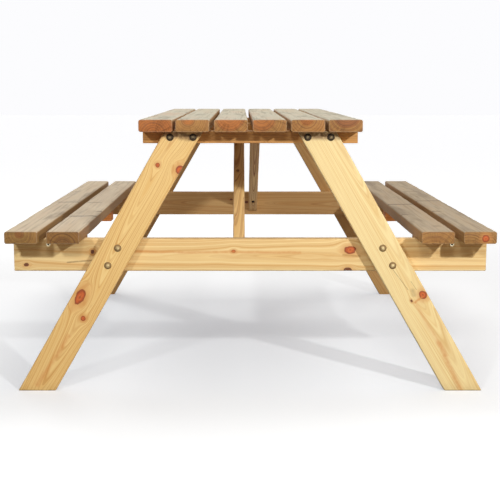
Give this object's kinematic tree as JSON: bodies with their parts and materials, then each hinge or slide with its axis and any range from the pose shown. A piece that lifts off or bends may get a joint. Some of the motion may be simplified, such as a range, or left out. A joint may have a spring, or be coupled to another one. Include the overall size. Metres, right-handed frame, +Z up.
{
  "type": "picnic table",
  "caption": "Timber picnic table with a slatted top and two attached slatted benches on splayed, bolted end frames.",
  "frame": {"origin": "on the ground, midway between the four feet", "axes": "+X across the table towards the right bench, +Y along the boards towards the rear end frame, +Z up"},
  "size_m": [1.312, 1.56, 0.75],
  "materials": {
    "weathered_timber": "weathered, unpainted treated softwood",
    "frame_timber": "planed, unpainted pale softwood",
    "batten_timber": "sawn, brown-tinted treated softwood",
    "zinc_fasteners": "dull zinc plating"
  },
  "bodies": {
    "root": {"batten_to_beam_screws": "zinc_fasteners", "brace_front": "batten_timber", "brace_rear": "batten_timber", "brace_to_beam_screws": "zinc_fasteners", "brace_to_cleat_screws": "zinc_fasteners", "leg_front_left": "frame_timber", "leg_front_right": "frame_timber", "leg_rear_left": "frame_timber", "leg_rear_right": "frame_timber", "leg_to_beam_bolts": "zinc_fasteners", "leg_to_beam_nuts": "zinc_fasteners", "leg_to_beam_washers": "zinc_fasteners", "leg_to_cleat_bolts": "zinc_fasteners", "leg_to_cleat_nuts": "zinc_fasteners", "leg_to_cleat_washers": "zinc_fasteners", "seat_batten_left_front": "batten_timber", "seat_batten_left_middle": "batten_timber", "seat_batten_left_rear": "batten_timber", "seat_batten_right_front": "batten_timber", "seat_batten_right_middle": "batten_timber", "seat_batten_right_rear": "batten_timber", "seat_beam_front": "frame_timber", "seat_beam_rear": "frame_timber", "seat_board_left_inner": "weathered_timber", "seat_board_left_outer": "weathered_timber", "seat_board_right_inner": "weathered_timber", "seat_board_right_outer": "weathered_timber", "seat_screws": "zinc_fasteners", "tabletop_board_1": "weathered_timber", "tabletop_board_2": "weathered_timber", "tabletop_board_3": "weathered_timber", "tabletop_board_4": "weathered_timber", "tabletop_board_5": "weathered_timber", "tabletop_board_6": "weathered_timber", "tabletop_cleat_front": "batten_timber", "tabletop_cleat_middle": "batten_timber", "tabletop_cleat_rear": "batten_timber", "tabletop_screws": "zinc_fasteners"}
  },
  "joints": []
}
